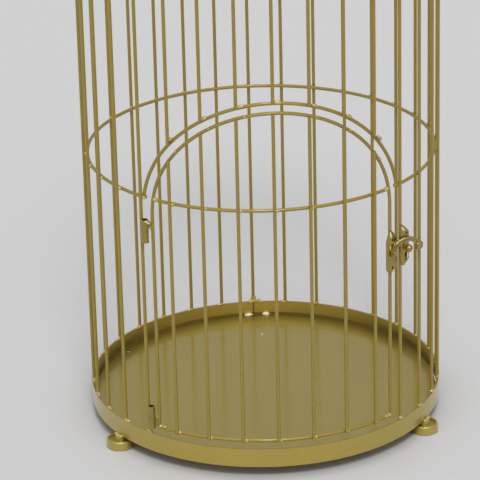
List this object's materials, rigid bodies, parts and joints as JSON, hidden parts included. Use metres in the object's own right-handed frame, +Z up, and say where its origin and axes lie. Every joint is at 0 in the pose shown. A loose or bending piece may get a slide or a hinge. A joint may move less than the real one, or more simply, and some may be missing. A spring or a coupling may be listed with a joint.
{
  "type": "wedding card box",
  "caption": "Birdcage wedding card box of gold welded wire on a shallow footed tray, with an arched hinged door and a swing-hook latch.",
  "frame": {"origin": "on the cage's axis, in the plane that the feet stand on", "axes": "+Z up along the cage's axis, -Y out of the middle of the door, +X towards the latch's side"},
  "size_m": [0.262, 0.2715, 0.5667],
  "materials": {
    "gold_wire": "metallic gold paint, satin, on round steel wire",
    "gold_sheet": "metallic gold paint, satin, on sheet steel",
    "gold_fittings": "metallic gold paint, satin to gloss, on stamped and turned fittings"
  },
  "bodies": {
    "cage": {"base_band": "gold_sheet", "base_floor": "gold_sheet", "feet": "gold_fittings", "mid_ring": "gold_wire", "shoulder_ring": "gold_wire", "doorway_arch": "gold_wire", "crown_ring": "gold_wire", "crown_cap": "gold_sheet", "hanging_loop": "gold_fittings", "cage_knuckles": "gold_fittings", "hinge_pins": "gold_fittings", "catch_plate": "gold_fittings", "catch_stud": "gold_fittings", "cage_bar_01": "gold_wire", "cage_bar_02": "gold_wire", "cage_bar_03": "gold_wire", "cage_bar_04": "gold_wire", "cage_bar_05": "gold_wire", "cage_bar_06": "gold_wire", "cage_bar_07": "gold_wire", "cage_bar_08": "gold_wire", "cage_bar_09": "gold_wire", "cage_bar_10": "gold_wire", "cage_bar_11": "gold_wire", "cage_bar_12": "gold_wire", "cage_bar_13": "gold_wire", "cage_bar_14": "gold_wire", "cage_bar_15": "gold_wire", "cage_bar_16": "gold_wire", "cage_bar_17": "gold_wire", "cage_bar_18": "gold_wire", "cage_bar_19": "gold_wire", "cage_bar_20": "gold_wire", "cage_bar_21": "gold_wire", "cage_bar_22": "gold_wire", "cage_bar_23": "gold_wire", "cage_bar_24": "gold_wire", "cage_bar_25": "gold_wire", "upper_bar_1": "gold_wire", "upper_bar_2": "gold_wire", "upper_bar_3": "gold_wire", "upper_bar_4": "gold_wire", "upper_bar_5": "gold_wire", "upper_bar_6": "gold_wire", "upper_bar_7": "gold_wire"},
    "door": {"door_frame": "gold_wire", "door_ring": "gold_wire", "door_rail": "gold_wire", "door_knuckles": "gold_fittings", "hook_plate": "gold_fittings", "hook_rivet": "gold_fittings", "door_bar_1": "gold_wire", "door_bar_2": "gold_wire", "door_bar_3": "gold_wire", "door_bar_4": "gold_wire", "door_bar_5": "gold_wire", "door_bar_6": "gold_wire", "door_bar_7": "gold_wire"},
    "latch_hook": {"latch_hook": "gold_fittings"}
  },
  "joints": [
    {"name": "door_hinge", "type": "hinge", "parent": "cage", "child": "door", "pos_m": [-0.08959, -0.09567, 0.1], "axis": [0, 0, -1], "range_deg": [0, 160]},
    {"name": "hook_swing", "type": "hinge", "parent": "door", "child": "latch_hook", "pos_m": [0.08857, -0.10001, 0.1581], "axis": [0.7071, -0.7071, 0], "range_deg": [0, 100]}
  ]
}
